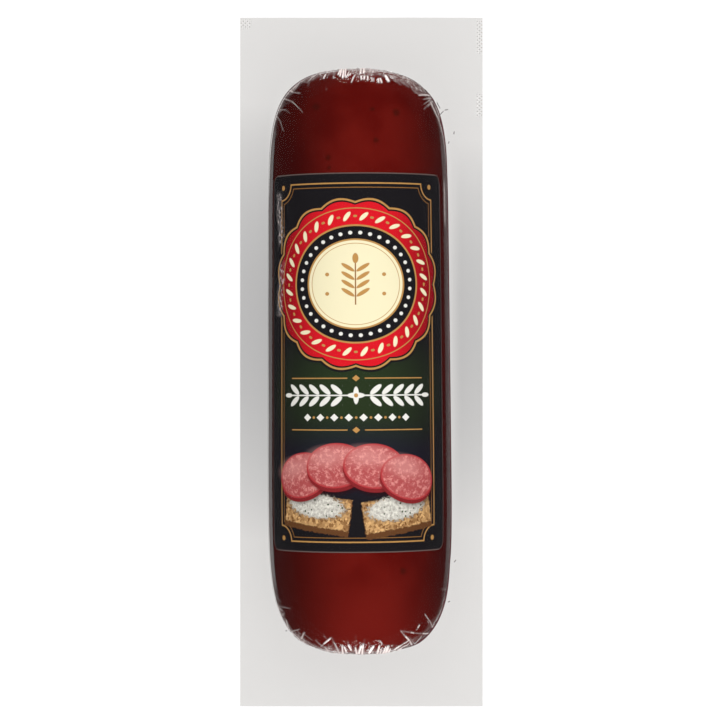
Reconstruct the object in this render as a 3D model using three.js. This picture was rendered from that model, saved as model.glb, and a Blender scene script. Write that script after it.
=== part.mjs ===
// A summer sausage, vacuum-packed in a clear pouch, lying on its back with the label up.
//
// Millimetres, +Z up. +X runs across the pack and +Y along the sausage. The origin is the middle of the
// pouch's footprint, on the surface that the pack lies on.
//
// Three pieces: the sausage, with the film that is drawn skin-tight over it, the label wrapped on its
// front, and the pouch's clear sealed border, which grips the sausage all round at half its height.

import * as THREE from "three";
import { mergeVertices } from "three/addons/utils/BufferGeometryUtils.js";

// ---------------------------------------------------------------- driving dimensions

const POUCH_WIDTH = 74.3;
const POUCH_LENGTH = 211;
const BORDER_THICKNESS = 0.4;

const SAUSAGE_LENGTH = 177.5; // tip to tip
const SAUSAGE_WIDTH = 55.5; // at the middle
const SAUSAGE_TAPER = 0.021; // the top end is narrower, and the bottom end wider, by this share
const SAUSAGE_DEPTH = 54.6; // before its own weight flattens the underside
const UNDERSIDE_FLAT = 0.9; // how much of the depth that flat takes away

// The sausage lies a little askew in its pouch.
const SAUSAGE_TURN = THREE.MathUtils.degToRad(0.32);
const SAUSAGE_SHIFT = { x: -0.8, y: 0.2 };

// The outline of each end is |x / half width| ^ across + |y / half length| ^ along = 1.
const TOP_END = { across: 2.86, along: 8.9 };
const BOTTOM_END = { across: 3.18, along: 7.1 };

const LABEL_HEIGHT = 113.1; // along the sausage
const LABEL_MIDDLE = -0.4; // where its middle lies along the sausage
const LABEL_ARC = THREE.MathUtils.degToRad(133.3); // round the sausage
const LABEL_TURN = THREE.MathUtils.degToRad(-1.7); // its middle lies just left of the top
const LABEL_CORNER = 3;
const LABEL_THICKNESS = 0.25;

const GAP = 0.3; // between touching pieces

// The film's pleats at the two ends, and the collar where it leaves the sausage for the border
const PLEAT_HEIGHT = 0.6;
const PLEAT_REACH = THREE.MathUtils.degToRad(46); // up the dome from the border, to where they die out
const COLLAR_SIDES = { out: 1.4, up: 2 };
const COLLAR_ENDS = { out: 1.2, up: 2.8 };
const BORDER_WAVE = { height: 0.45, length: 96 };

// How finely the surfaces are cut
const END_STATIONS = 48; // round each end; even, so that ridges and valleys alternate
const SIDE_STATIONS = 12; // along each straight side
const DOME_ROWS = 11; // from the border to the top, and as many to the underside
const COLLAR_STEPS = 4;
const BORDER_STEPS = 2;
const LABEL_COLUMNS = 18;
const LABEL_ROWS = 14;
const LABEL_CORNER_ROWS = 3;

// ---------------------------------------------------------------- derived values

const HALF_LENGTH = SAUSAGE_LENGTH / 2;
const HALF_WIDTH = SAUSAGE_WIDTH / 2;
const HALF_DEPTH = SAUSAGE_DEPTH / 2;
const AXIS_HEIGHT = HALF_DEPTH - UNDERSIDE_FLAT;
const SPINE = HALF_LENGTH - 1.12 * HALF_WIDTH; // the sausage's two ends are fanned out round y = +-SPINE
const FLAT_HALF_WIDTH = HALF_WIDTH * Math.sqrt(1 - (AXIS_HEIGHT / HALF_DEPTH) ** 2);
const FLAT_EDGE = Math.atan2(AXIS_HEIGHT, FLAT_HALF_WIDTH); // seen from the spine, below the border

// ---------------------------------------------------------------- the sausage's form

/** How wide the sausage is at y, as a share of its width at the middle. */
function girth(y) {
  const end = y > 0 ? TOP_END : BOTTOM_END;
  const along = Math.min(Math.abs(y) / HALF_LENGTH, 1);
  return (1 - along ** end.along) ** (1 / end.across);
}

/** Half the sausage's width at y, before its ends round off. */
function halfWidth(y) {
  return HALF_WIDTH * (1 - (SAUSAGE_TAPER * y) / HALF_LENGTH);
}

/** Numbers from 0 to 1 that are the same at each run. */
function seededNumbers(seed) {
  let state = seed;
  return () => {
    state = (Math.imul(state, 1664525) + 1013904223) >>> 0;
    return state / 2 ** 32;
  };
}

/**
 * The stations round the sausage's outline, seen from above and counter-clockwise. Each has the point of
 * the spine that it belongs to, the direction that it faces, how much of an end it is (0 on the straight
 * sides, 1 at a tip) and how high the film's pleat stands there.
 */
function makeStations() {
  const random = seededNumbers(11);
  const stations = [];
  for (const side of [1, -1]) {
    for (let i = 0; i < SIDE_STATIONS; i += 1) {
      const y = side * SPINE * (-1 + (2 * i) / SIDE_STATIONS);
      stations.push({ y, facing: new THREE.Vector2(side, 0), endShare: 0, pleat: 0 });
    }
    for (let i = 0; i < END_STATIONS; i += 1) {
      const angle = (Math.PI * i) / END_STATIONS;
      const endShare = Math.sin(angle);
      const ridge = i % 2 === 1 ? 0.55 + 0.45 * random() : 0.12 * random();
      stations.push({
        y: side * SPINE,
        facing: new THREE.Vector2(side * Math.cos(angle), side * Math.sin(angle)),
        endShare,
        pleat: PLEAT_HEIGHT * ridge * endShare ** 0.8,
      });
    }
  }
  return stations;
}

/**
 * The point of the sausage's skin that a station sees from its point of the spine at an elevation, with
 * the station's pleat and a clearance added outwards. The underside is pressed flat at z = 0.
 */
function skinPoint(station, elevation, clearance = 0) {
  const level = Math.cos(elevation);
  const ray = new THREE.Vector3(
    station.facing.x * level,
    station.facing.y * level,
    Math.sin(elevation),
  );
  const at = (reach) =>
    new THREE.Vector3(0, station.y, 0).addScaledVector(ray, reach);
  const isInside = (p) =>
    Math.abs(p.y) < HALF_LENGTH &&
    Math.hypot(p.x / halfWidth(p.y), p.z / HALF_DEPTH) < girth(p.y);

  let near = 0;
  let far = HALF_LENGTH;
  for (let halving = 0; halving < 44; halving += 1) {
    const middle = (near + far) / 2;
    if (isInside(at(middle))) near = middle;
    else far = middle;
  }
  const fade = Math.max(0, 1 - Math.abs(elevation) / PLEAT_REACH);
  const point = at(near + station.pleat * fade + clearance);
  point.z = Math.max(point.z + AXIS_HEIGHT, 0);
  return point;
}

// ---------------------------------------------------------------- closed surfaces

/** Two triangles for each cell between consecutive rows of points. Each row is a closed loop. */
function cellsBetween(rows) {
  const triangles = [];
  for (let r = 0; r + 1 < rows.length; r += 1) {
    const count = rows[r].length;
    for (let i = 0; i < count; i += 1) {
      const next = (i + 1) % count;
      const [a, b, c, d] = [rows[r][i], rows[r][next], rows[r + 1][next], rows[r + 1][i]];
      triangles.push([a, b, c], [a, c, d]);
    }
  }
  return triangles;
}

/** One closed geometry from triangles of points. Cells that close to a line or a point are dropped. */
function closedGeometry(triangles) {
  const hasArea = ([a, b, c]) =>
    a.distanceTo(b) > 1e-4 && b.distanceTo(c) > 1e-4 && c.distanceTo(a) > 1e-4;
  const points = triangles.filter(hasArea).flat();
  const geometry = mergeVertices(new THREE.BufferGeometry().setFromPoints(points), 1e-4);
  geometry.computeVertexNormals();
  return geometry;
}

// ---------------------------------------------------------------- the pieces

/** The elevations of the sausage's rows, from its underside to its top, closer together at the border. */
function rowElevations() {
  const shares = Array.from({ length: DOME_ROWS + 1 }, (_, i) => (i / DOME_ROWS) ** 1.25);
  const below = shares.slice(1).toReversed().map((share) => -FLAT_EDGE * share);
  const above = shares.map((share) => (share * Math.PI) / 2);
  return [-Math.PI / 2, ...below, ...above];
}

/** The sausage: a closed loop of points at each elevation. */
function makeSausage(stations) {
  const rows = rowElevations().map((elevation) =>
    stations.map((station) => skinPoint(station, elevation)),
  );
  const skin = new THREE.MeshStandardMaterial({ color: 0x5e130e, roughness: 0.28, metalness: 0 });
  const mesh = new THREE.Mesh(closedGeometry(cellsBetween(rows)), skin);
  mesh.name = "sausage";
  return mesh;
}

/**
 * The point of the label at a height above the skin. across runs from -1 to 1 round the sausage, and up
 * is measured along it from the label's middle.
 */
function labelPoint(across, up, height) {
  const fromEdge = LABEL_HEIGHT / 2 - Math.abs(up);
  const cut = Math.max(LABEL_CORNER - fromEdge, 0);
  const cornerLoss = LABEL_CORNER - Math.sqrt(Math.max(LABEL_CORNER ** 2 - cut ** 2, 0));
  const halfArc = LABEL_ARC / 2 - cornerLoss / HALF_WIDTH;
  const angle = LABEL_TURN + across * halfArc;
  const outwards = new THREE.Vector3(Math.sin(angle), 0, Math.cos(angle));
  const y = LABEL_MIDDLE + up;
  const size = girth(y);
  return new THREE.Vector3(
    halfWidth(y) * size * Math.sin(angle),
    y,
    AXIS_HEIGHT + HALF_DEPTH * size * Math.cos(angle),
  ).addScaledVector(outwards, height);
}

/** How far up each of the label's rows is, closer together in its rounded corners. */
function labelRows() {
  const straight = LABEL_HEIGHT / 2 - LABEL_CORNER;
  const rows = [];
  for (let i = LABEL_CORNER_ROWS; i > 0; i -= 1) {
    rows.push(-straight - LABEL_CORNER * Math.sin((i * Math.PI) / (2 * LABEL_CORNER_ROWS)));
  }
  for (let i = 0; i <= LABEL_ROWS; i += 1) rows.push(straight * ((2 * i) / LABEL_ROWS - 1));
  for (let i = 1; i <= LABEL_CORNER_ROWS; i += 1) {
    rows.push(straight + LABEL_CORNER * Math.sin((i * Math.PI) / (2 * LABEL_CORNER_ROWS)));
  }
  return rows;
}

/** The label: a curved sheet with rounded corners, a loop of points round it at each of its rows. */
function makeLabel() {
  const columns = Array.from({ length: LABEL_COLUMNS + 1 }, (_, i) => (2 * i) / LABEL_COLUMNS - 1);
  const loops = labelRows().map((up) => [
    ...columns.map((across) => labelPoint(across, up, GAP + LABEL_THICKNESS)),
    ...columns.toReversed().map((across) => labelPoint(across, up, GAP)),
  ]);
  const triangles = cellsBetween(loops);
  for (const [loop, isTop] of [[loops[0], false], [loops.at(-1), true]]) {
    for (let i = 0; i < LABEL_COLUMNS; i += 1) {
      const [a, b] = [loop[i], loop[i + 1]];
      const [c, d] = [loop[loop.length - 2 - i], loop[loop.length - 1 - i]];
      triangles.push(...(isTop ? [[a, b, c], [a, c, d]] : [[a, c, b], [a, d, c]]));
    }
  }
  const print = new THREE.MeshStandardMaterial({ color: 0x1c1a1d, roughness: 0.4, metalness: 0 });
  const mesh = new THREE.Mesh(closedGeometry(triangles), print);
  mesh.name = "label";
  return mesh;
}

/** How far the border's free film stands above or below its plane at a place. */
function borderWave(x, y) {
  const free = THREE.MathUtils.smoothstep(Math.hypot(x / HALF_WIDTH, y / HALF_LENGTH), 1.1, 1.5);
  const phase = (2 * Math.PI * y) / BORDER_WAVE.length;
  return BORDER_WAVE.height * free * Math.sin(phase + Math.sign(x)) * Math.cos(x / HALF_WIDTH);
}

/** Where each station's section meets the pouch's edge. The nearest one is moved to each corner. */
function edgePoints(stations, placement) {
  const half = new THREE.Vector2(POUCH_WIDTH / 2, POUCH_LENGTH / 2);
  const points = stations.map((station) => {
    const start = new THREE.Vector3(0, station.y, 0).applyMatrix4(placement);
    const toSide = (Math.sign(station.facing.x) * half.x - start.x) / station.facing.x;
    const toEnd = (Math.sign(station.facing.y) * half.y - start.y) / station.facing.y;
    const reach = Math.min(
      Math.abs(station.facing.x) > 1e-9 ? toSide : Infinity,
      Math.abs(station.facing.y) > 1e-9 ? toEnd : Infinity,
    );
    return new THREE.Vector2(start.x, start.y).addScaledVector(station.facing, reach);
  });
  for (const corner of [[1, 1], [-1, 1], [-1, -1], [1, -1]]) {
    const target = new THREE.Vector2(...corner).multiply(half);
    const distances = points.map((point) => point.distanceTo(target));
    points[distances.indexOf(Math.min(...distances))].copy(target);
  }
  return points;
}

/**
 * One face of the film at a station, from its lip on the sausage, down the hollow of the collar, and out
 * to the pouch's edge. face is 1 for the upper face and -1 for the lower one.
 */
function filmSection(station, edge, placement, face) {
  const blend = station.endShare ** 2;
  const collar = {
    out: THREE.MathUtils.lerp(COLLAR_SIDES.out, COLLAR_ENDS.out, blend) + station.pleat,
    up: THREE.MathUtils.lerp(COLLAR_SIDES.up, COLLAR_ENDS.up, blend) + 2 * station.pleat,
  };
  const lipElevation = (face * collar.up) / HALF_WIDTH;
  const lip = skinPoint(station, lipElevation, GAP + BORDER_THICKNESS / 2).applyMatrix4(placement);
  const foot = skinPoint(station, 0, GAP + BORDER_THICKNESS / 2).applyMatrix4(placement);
  const surface = AXIS_HEIGHT + (face * BORDER_THICKNESS) / 2;
  foot.z = surface;

  const outwards = new THREE.Vector3(edge.x, edge.y, surface).sub(foot);
  const start = foot.clone().addScaledVector(outwards.clone().normalize(), collar.out);
  const hollow = new THREE.QuadraticBezierCurve3(lip, foot, start);
  const points = hollow.getPoints(COLLAR_STEPS);
  for (let i = 1; i <= BORDER_STEPS; i += 1) {
    const free = start.clone().lerp(new THREE.Vector3(edge.x, edge.y, surface), i / BORDER_STEPS);
    free.z += borderWave(free.x, free.y);
    points.push(free);
  }
  return { points, lipElevation };
}

/** The pouch's sealed border: a ring of closed sections, each shut by a wall that follows the skin. */
function makePouch(stations, placement) {
  const edges = edgePoints(stations, placement);
  const sections = stations.map((station, i) => {
    const upper = filmSection(station, edges[i], placement, 1);
    const lower = filmSection(station, edges[i], placement, -1);
    const wall = [lower.lipElevation, 0, upper.lipElevation].map((elevation) =>
      skinPoint(station, elevation, GAP).applyMatrix4(placement),
    );
    return [...wall, ...upper.points, ...lower.points.toReversed()];
  });
  const film = new THREE.MeshStandardMaterial({
    color: 0xdfe0dd,
    roughness: 0.15,
    metalness: 0,
    transparent: true,
    opacity: 0.4,
  });
  const mesh = new THREE.Mesh(closedGeometry(cellsBetween([...sections, sections[0]])), film);
  mesh.name = "pouch";
  return mesh;
}

// ---------------------------------------------------------------- the pack

const stations = makeStations();

const contents = new THREE.Group();
contents.rotation.z = SAUSAGE_TURN;
contents.position.set(SAUSAGE_SHIFT.x, SAUSAGE_SHIFT.y, 0);
contents.updateMatrix();
contents.add(makeSausage(stations), makeLabel());

const pack = new THREE.Group();
pack.add(contents, makePouch(stations, contents.matrix));

export default pack;
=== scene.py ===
"""The looks of a vacuum-packed summer sausage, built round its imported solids.

A dark red smoked sausage lies on its back in a clear pouch. The film is drawn skin-tight over it and over
the label on its front, gathers in sharp pleats round both ends, and is sealed all round in a flat border.
Everything is in metres, in the part's own frame: +X across the pack, +Y along it, +Z out of the label.
"""

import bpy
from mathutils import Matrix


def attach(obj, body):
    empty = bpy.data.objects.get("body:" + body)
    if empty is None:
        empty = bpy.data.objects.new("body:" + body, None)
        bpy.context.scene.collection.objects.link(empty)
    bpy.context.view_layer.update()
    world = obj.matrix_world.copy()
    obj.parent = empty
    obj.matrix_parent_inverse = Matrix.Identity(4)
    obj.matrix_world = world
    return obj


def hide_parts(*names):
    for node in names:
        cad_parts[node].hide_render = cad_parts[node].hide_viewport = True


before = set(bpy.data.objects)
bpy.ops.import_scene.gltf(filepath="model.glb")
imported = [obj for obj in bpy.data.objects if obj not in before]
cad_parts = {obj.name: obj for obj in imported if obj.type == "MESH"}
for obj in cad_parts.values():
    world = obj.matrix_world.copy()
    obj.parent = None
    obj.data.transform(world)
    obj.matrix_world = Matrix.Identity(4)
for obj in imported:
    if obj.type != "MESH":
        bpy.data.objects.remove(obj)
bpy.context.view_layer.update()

import logging
import math
from collections.abc import Callable, Iterable
from dataclasses import dataclass, field
from enum import Enum
from functools import reduce

import bpy
import numpy as np
from mathutils import Vector

LOG = logging.getLogger("sausage_pack")
MM = 0.001
Array = np.ndarray
Material = bpy.types.Material
Piece = bpy.types.Object
Pair = tuple[float, float]
Place = Colour = tuple[float, float, float]
Rows = tuple[tuple[float, ...], ...]


# ---- modelling


def lay_grid(name: str, points: Array, notes: dict[str, Array]) -> tuple[Piece, tuple[Array, Array]]:
    """Adds a grid primitive and moves its points to their places.

    Args:
        name: the piece's name.
        points: the places in metres, by row and column.
        notes: numbers for its material to read, by name, each by row and column.

    Returns:
        The piece, and the row and the column of each of its points.
    """
    if bpy.context.object and bpy.context.object.mode != "OBJECT":
        bpy.ops.object.mode_set(mode="OBJECT")
    bpy.ops.object.select_all(action="DESELECT")
    rows, columns = points.shape[0] - 1, points.shape[1] - 1
    bpy.ops.mesh.primitive_grid_add(x_subdivisions=columns, y_subdivisions=rows, size=1)
    piece = bpy.context.object
    piece.name = name
    piece.data.name = name
    flat = np.zeros(len(piece.data.vertices) * 3)
    piece.data.vertices.foreach_get("co", flat)
    across, up, _ = flat.reshape(-1, 3).T + 0.5
    at = np.rint(up * rows).astype(int), np.rint(across * columns).astype(int)
    piece.data.vertices.foreach_set("co", points[at].astype(np.float32).ravel())
    piece.data.update()
    for key, values in notes.items():
        attribute = piece.data.attributes.new(key, "FLOAT", "POINT")
        attribute.data.foreach_set("value", values[at].astype(np.float32))
    return piece, at


def close_seams(piece: Piece, distance: float = 1e-6) -> None:
    """Merges the points that meet at a piece's seams and poles, and turns its faces outwards.

    Args:
        piece: the piece.
        distance: how near to each other the points that are merged lie, in metres.
    """
    bpy.context.view_layer.objects.active = piece
    bpy.ops.object.mode_set(mode="EDIT")
    bpy.ops.mesh.select_all(action="SELECT")
    bpy.ops.mesh.remove_doubles(threshold=distance)
    bpy.ops.mesh.dissolve_degenerate(threshold=distance)
    bpy.ops.mesh.normals_make_consistent(inside=False)
    bpy.ops.object.mode_set(mode="OBJECT")
    bpy.ops.object.shade_smooth()


def smooth_noise(x: Array, y: Array, seed: int) -> Array:
    """Smooth noise between -1 and 1 on a lattice of unit cells, the same at each run.

    Args:
        x: where each point lies across the lattice.
        y: where each point lies along the lattice.
        seed: which of the many noises.

    Returns:
        The noise at each point.
    """

    def knot(i: Array, j: Array) -> Array:
        """The noise at a lattice point."""
        mixed = np.sin(i * 127.1 + j * 311.7 + seed * 74.7) * 43758.5453
        return 2 * (mixed - np.floor(mixed)) - 1

    i, j = np.floor(x), np.floor(y)
    a, b = x - i, y - j
    a, b = a * a * (3 - 2 * a), b * b * (3 - 2 * b)
    low = knot(i, j) * (1 - a) + knot(i + 1, j) * a
    high = knot(i, j + 1) * (1 - a) + knot(i + 1, j + 1) * a
    return low * (1 - b) + high * b


def smooth_step(value: Array, low: float, high: float) -> Array:
    """A smooth step of value, from 0 at low to 1 at high. low may be the greater."""
    share = np.clip((value - low) / (high - low), 0, 1)
    return share * share * (3 - 2 * share)


def window(value: Array, low: float, high: float, soft: float) -> Array:
    """1 from low to high, and smoothly down to 0 outside them over a soft edge."""
    return smooth_step(value, low - soft, low) * smooth_step(value, high + soft, high)


# ---- the form


@dataclass(frozen=True)
class EndShape:
    """One end's outline, |x / half width| ** across + |y / half length| ** along = 1."""

    across: float
    along: float


@dataclass(frozen=True)
class SausageForm:
    """The sausage's skin, as the solid has it. Its ends fan out from the two ends of a spine."""

    length: float = 177.5 * MM
    width: float = 55.5 * MM
    depth: float = 54.6 * MM
    flat: float = 0.9 * MM
    taper: float = 0.021
    turn: float = math.radians(0.32)
    shift: Pair = (-0.8 * MM, 0.2 * MM)
    top_end: EndShape = EndShape(2.86, 8.9)
    bottom_end: EndShape = EndShape(3.18, 7.1)
    fan_reach: float = 1.12

    @property
    def axis_height(self) -> float:
        """How high the sausage's axis, and the pouch's border, lie above the table."""
        return self.depth / 2 - self.flat

    @property
    def spine(self) -> float:
        """Half the length of the spine."""
        return self.length / 2 - self.fan_reach * self.width / 2

    def girth(self, y: Array) -> Array:
        """How wide the sausage is, as a share of its width at the middle.

        Args:
            y: places along the sausage.

        Returns:
            The share at each place.
        """
        along = np.minimum(np.abs(y) / (self.length / 2), 1)
        top, bottom = ((1 - along**end.along) ** (1 / end.across) for end in (self.top_end, self.bottom_end))
        return np.where(y > 0, top, bottom)

    def half_width(self, y: Array) -> Array:
        """Half the sausage's width at y, before its ends round off."""
        return self.width / 2 * (1 - self.taper * y / (self.length / 2))

    def reach(self, start: Array, ray: Array) -> Array:
        """How far the skin is from points of the spine, found by halving.

        Args:
            start: y of each point on the spine.
            ray: unit directions, with x, y and z in the last axis.

        Returns:
            The distances.
        """
        near = np.zeros(ray.shape[:-1])
        far = np.full(ray.shape[:-1], self.length / 2)
        for _ in range(40):
            middle = (near + far) / 2
            x, y, z = ray[..., 0] * middle, start + ray[..., 1] * middle, ray[..., 2] * middle
            across = np.hypot(x / self.half_width(y), z / (self.depth / 2))
            inside = (np.abs(y) < self.length / 2) & (across < self.girth(y))
            near = np.where(inside, middle, near)
            far = np.where(inside, far, middle)
        return near

    def place(self, points: Array) -> Array:
        """Turns and shifts points with the sausage, which lies a little askew in its pouch.

        Args:
            points: points with x, y and z in the last axis.

        Returns:
            The points as they lie in the part.
        """
        cos, sin = math.cos(self.turn), math.sin(self.turn)
        x, y, z = np.moveaxis(points, -1, 0)
        placed = [cos * x - sin * y + self.shift[0], sin * x + cos * y + self.shift[1], z]
        return np.stack(placed, axis=-1)


@dataclass(frozen=True)
class Stations:
    """Places round the sausage's outline, seen from above and counter-clockwise, first and last alike.

    For each there is y of its point on the spine, the direction that it faces, the angle of that
    direction in degrees, how much of an end it is, and how far round the outline it lies in metres.
    """

    y: Array
    facing: Array
    angle: Array
    end_share: Array
    arc: Array

    @classmethod
    def around(cls, form: SausageForm, per_end: int, per_side: int, gather: float = 0.0) -> "Stations":
        """Spreads stations over both sides and both ends.

        Args:
            form: the sausage.
            per_end: stations round each end.
            per_side: stations along each side.
            gather: how much closer they stand at the tips than at the sides, from 0 to 1.

        Returns:
            The stations.
        """
        side = np.linspace(-1, 1, per_side, endpoint=False) * form.spine
        share = np.linspace(-1, 1, per_end, endpoint=False)
        fan = 90 + 90 * share * (1 - gather + gather * share**2)
        spine = np.full(per_end, form.spine)
        y = np.concatenate([side, spine, -side, -spine, [-form.spine]])
        angle = np.concatenate([0 * side, fan, 180 + 0 * side, 180 + fan, [360]])
        facing = np.stack([np.cos(np.radians(angle)), np.sin(np.radians(angle))], axis=-1)
        level = np.concatenate([facing, np.zeros((len(y), 1))], axis=-1)
        rim = facing * form.reach(y, level)[:, None]
        rim[:, 1] += y
        steps = np.linalg.norm(np.diff(rim, axis=0), axis=1)
        return cls(y, facing, angle, np.abs(facing[:, 1]), np.concatenate([[0], np.cumsum(steps)]))

    def skin(self, form: SausageForm, elevation: Array, clearance: float = 0.0) -> Array:
        """Points of the skin in rows.

        Args:
            form: the sausage.
            elevation: one angle per row, or one per row and station, in radians.
            clearance: how far outside the solid's skin, in metres.

        Returns:
            The points, by row and station, before they are turned in the pouch.
        """
        elevation = np.broadcast_to(elevation, (len(elevation), len(self.y)))[..., None]
        ray = np.concatenate([np.cos(elevation) * self.facing, np.sin(elevation)], axis=-1)
        points = ray * (form.reach(self.y, ray) + clearance)[..., None]
        points[..., 1] += self.y
        points[..., 2] += form.axis_height
        return points


# ---- shader maths


def operator(kind: str, reflected: bool = False) -> Callable[..., "Wire"]:
    """Makes a Python operator that adds a Math node.

    Args:
        kind: the node's operation.
        reflected: whether the other value comes first.

    Returns:
        The operator's method.
    """

    def method(wire: "Wire", *others: "Wire | float") -> "Wire":
        """The operation's result."""
        return wire.recipe.maths(kind, *((*others, wire) if reflected else (wire, *others)))

    return method


class Wire:
    """A value or a shader in a material. Maths on it is written in Python and becomes Math nodes."""

    __add__ = __radd__ = operator("ADD")
    __mul__ = __rmul__ = operator("MULTIPLY")
    __sub__, __rsub__ = operator("SUBTRACT"), operator("SUBTRACT", reflected=True)
    __pow__ = operator("POWER")
    __mod__ = operator("FLOORED_MODULO")
    __abs__ = operator("ABSOLUTE")

    def __init__(self, recipe: "Recipe", socket: bpy.types.NodeSocket) -> None:
        """Wraps an output socket of one of the recipe's nodes."""
        self.recipe = recipe
        self.socket = socket

    def clamp(self) -> "Wire":
        """This, held between 0 and 1."""
        return self.recipe.maths("ADD", self, 0.0, clamp=True)

    def above(self, low: float, high: float) -> "Wire":
        """A smooth step from 0 at low to 1 at high."""
        return self.recipe.add("MapRange", {0: self, 1: low, 2: high}, interpolation_type="SMOOTHSTEP")


def turned(x: Wire, y: Wire, turn: float) -> tuple[Wire, Wire]:
    """Flat coordinates along axes that are turned by degrees."""
    cos, sin = math.cos(math.radians(turn)), math.sin(math.radians(turn))
    return x * cos + y * sin, y * cos - x * sin


class Recipe:
    """A material and the one way in which nodes are put into it."""

    def __init__(self, name: str) -> None:
        """Starts an empty material.

        Args:
            name: the material's name.
        """
        self.material = bpy.data.materials.new(name)
        self.material.use_nodes = True
        self.tree = self.material.node_tree
        self.tree.nodes.clear()

    def add(
        self, kind: str, inputs: dict | None = None, output: int | str = 0, **settings: str | bool
    ) -> Wire:
        """Adds a node.

        Args:
            kind: the node's type, without ShaderNode.
            inputs: its sockets, by name or number, as values or wires.
            output: which of its outputs is handed over.
            settings: its properties.

        Returns:
            The output.
        """
        node = self.tree.nodes.new("ShaderNode" + kind)
        for key, value in settings.items():
            setattr(node, key, value)
        for key, value in (inputs or {}).items():
            socket = node.inputs[key]
            if isinstance(value, Wire):
                self.tree.links.new(value.socket, socket)
            else:
                socket.default_value = (*value, 1) if socket.type == "RGBA" else value
        return Wire(self, node.outputs[output])

    def maths(self, operation: str, *values: Wire | float, clamp: bool = False) -> Wire:
        """A Math node."""
        return self.add("Math", dict(enumerate(values)), operation=operation, use_clamp=clamp)

    def mix(self, share: Wire | float, first: Wire | Colour, second: Wire | Colour) -> Wire:
        """A blend of two colours, the second one by its share."""
        return self.add("Mix", {0: share, 6: first, 7: second}, 2, data_type="RGBA")

    def blend(self, share: Wire, first: Wire, second: Wire) -> Wire:
        """A blend of two shaders, the second one by its share."""
        return self.add("MixShader", {0: share, 1: first, 2: second})

    def most(self, values: Iterable[Wire]) -> Wire:
        """The greatest of several values and 0."""
        return reduce(lambda most, value: self.maths("MAXIMUM", most, value), values, 0.0)

    def place(self) -> Wire:
        """The point in the piece's own frame, which is the part's."""
        return self.add("TexCoord", output="Object")

    def split(self, at: Wire) -> list[Wire]:
        """The x, y and z of a place, or the parts of a colour."""
        kind = "SeparateColor" if at.socket.type == "RGBA" else "SeparateXYZ"
        return [Wire(self, part) for part in self.add(kind, {0: at}).socket.node.outputs]

    def stretch(self, at: Wire, factors: Place) -> Wire:
        """A place whose axes are multiplied by factors."""
        return self.add("VectorMath", {0: at, 1: factors}, operation="MULTIPLY")

    def noise(self, at: Wire, size: float, detail: float = 2, roughness: float = 0.5) -> Wire:
        """Cloudy noise about 0.5, with blots of a size in the units of the place."""
        inputs = {"Vector": at, "Scale": 1 / size, "Detail": detail, "Roughness": roughness}
        return self.add("TexNoise", inputs)

    def cells(self, at: Wire, size: float, output: str = "Distance") -> Wire:
        """Scattered cells of a size: the distance to, or the colour of, the nearest."""
        return self.add("TexVoronoi", {"Vector": at, "Scale": 1 / size}, output)

    def read(self, name: str) -> Wire:
        """A number noted on the piece's points."""
        return self.add("Attribute", output="Fac", attribute_name=name)

    def bump(self, height: Wire, strength: float, distance: float) -> Wire:
        """A surface made uneven by a height."""
        return self.add("Bump", {"Height": height, "Strength": strength, "Distance": distance})

    def surface(self, colour: Wire | Colour, roughness: float, specular: float = 0.0, **inputs) -> Wire:
        """A Principled shader, with further inputs by name."""
        inputs |= {"Base Color": colour, "Roughness": roughness, "Specular IOR Level": specular}
        return self.add("BsdfPrincipled", inputs)

    def finish(self, shader: Wire) -> Material:
        """Shows a shader on the surface.

        Args:
            shader: what is shown.

        Returns:
            The material.
        """
        output = self.tree.nodes.new("ShaderNodeOutputMaterial")
        self.tree.links.new(shader.socket, output.inputs["Surface"])
        return self.material


# ---- finishes


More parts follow.
